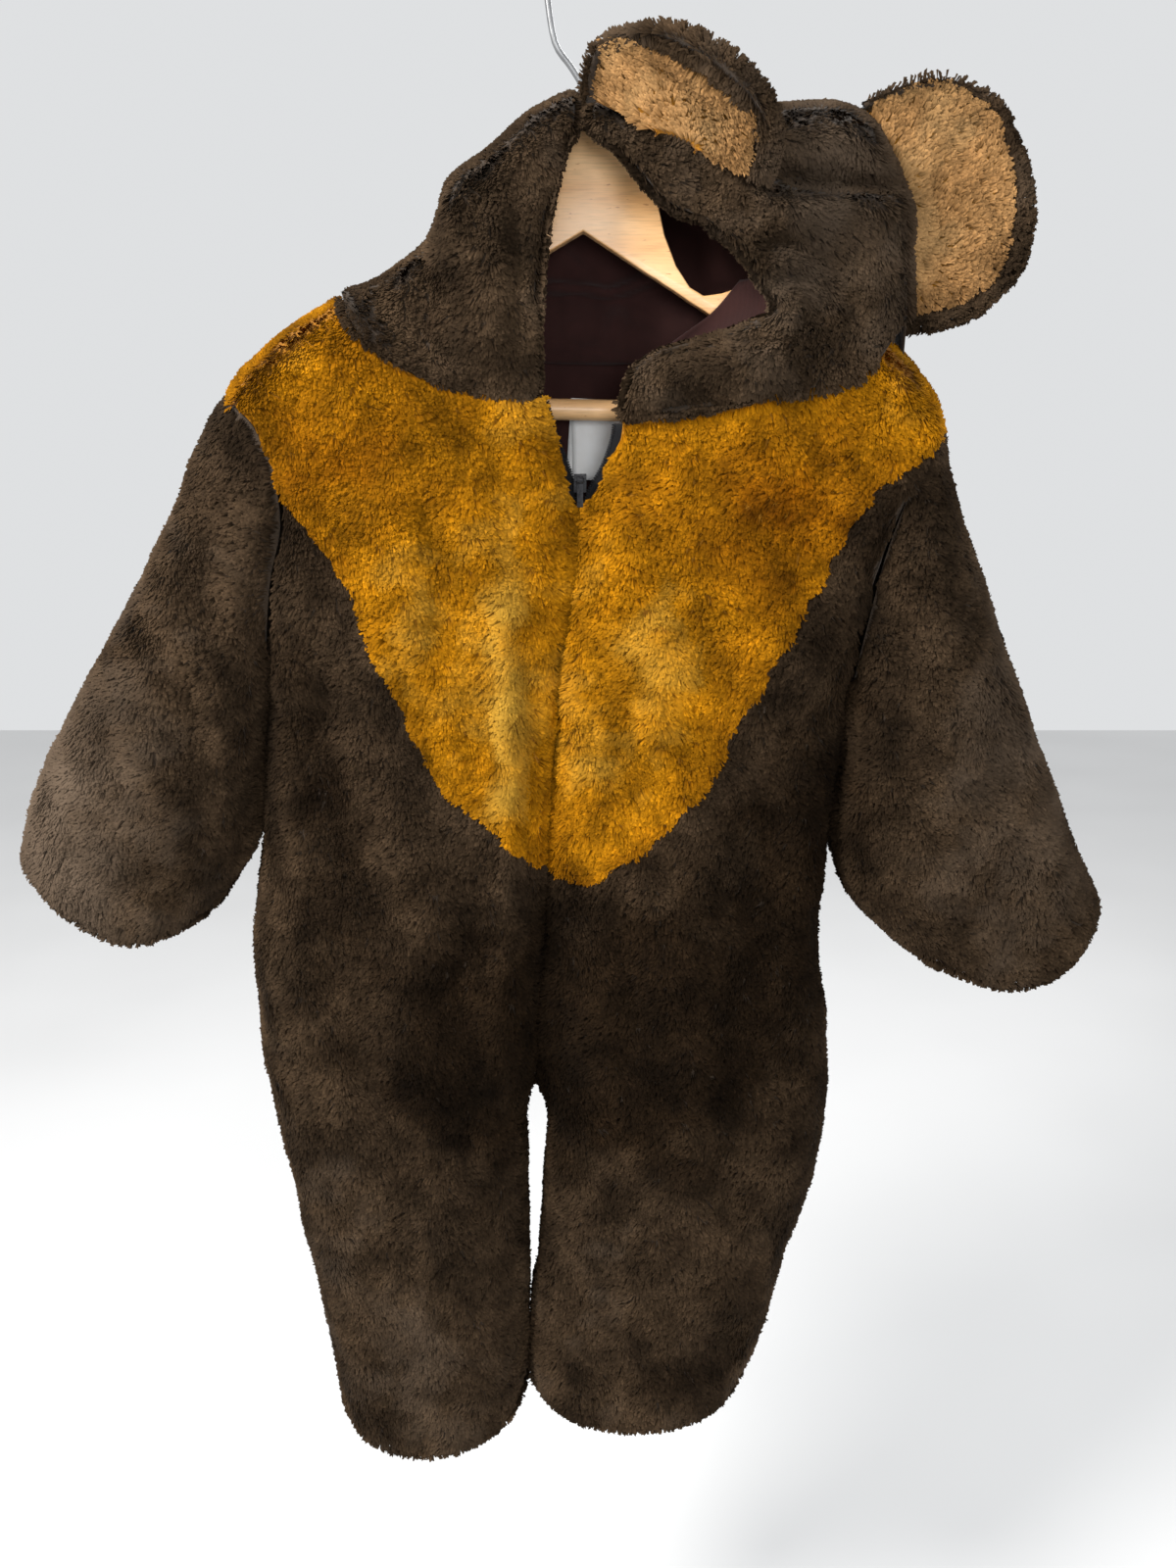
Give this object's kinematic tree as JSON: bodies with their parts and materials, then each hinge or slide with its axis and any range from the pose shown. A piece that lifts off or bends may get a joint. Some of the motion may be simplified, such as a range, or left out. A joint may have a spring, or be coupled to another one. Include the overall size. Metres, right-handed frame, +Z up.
{
  "type": "baby bear costume on a clothes hanger",
  "caption": "One-piece hooded plush bear suit for a toddler, with round ears, a tan bib, sleeves, legs and a front zip, hanging on a wooden hanger by its hook.",
  "frame": {"origin": "the point inside the top of the hook where a rail carries it", "axes": "+X to the viewer's right (the wearer's left), +Y back, away from the viewer, so the front faces -Y, +Z up"},
  "size_m": [0.6698, 0.1283, 0.9016],
  "materials": {
    "brown_plush": "dark brown knitted pile, matt, lighter at the tips",
    "tan_plush": "golden tan knitted pile, matt",
    "lining": "dark maroon-brown knitted lining, matt",
    "label": "white satin tape, blank",
    "zip": "black tape and moulded plastic slider",
    "wood": "pale beech, clear varnish",
    "hook": "bright steel wire"
  },
  "bodies": {
    "costume": {"bib_right": "tan_plush", "front_right": "brown_plush", "back_right": "brown_plush", "sleeve_right": "brown_plush", "hood_side_right": "brown_plush", "ear_face_right": "tan_plush", "ear_back_right": "brown_plush", "zip_tape_right": "zip", "bib_left": "tan_plush", "front_left": "brown_plush", "back_left": "brown_plush", "sleeve_left": "brown_plush", "hood_side_left": "brown_plush", "ear_face_left": "tan_plush", "ear_back_left": "brown_plush", "zip_tape_left": "zip", "hood_back": "brown_plush", "hood_lining": "lining", "neck_lining": "lining", "neck_label": "label", "zip_slider": "zip", "hanger_arms": "wood", "hanger_bar": "wood", "hanger_hook": "hook"},
    "zip_pull": {"zip_pull": "zip"}
  },
  "joints": [
    {"name": "pull_hinge", "type": "hinge", "parent": "costume", "child": "zip_pull", "pos_m": [-0.0044, -0.03784, -0.272], "axis": [-1, 0, 0], "range_deg": [0, 150]}
  ]
}
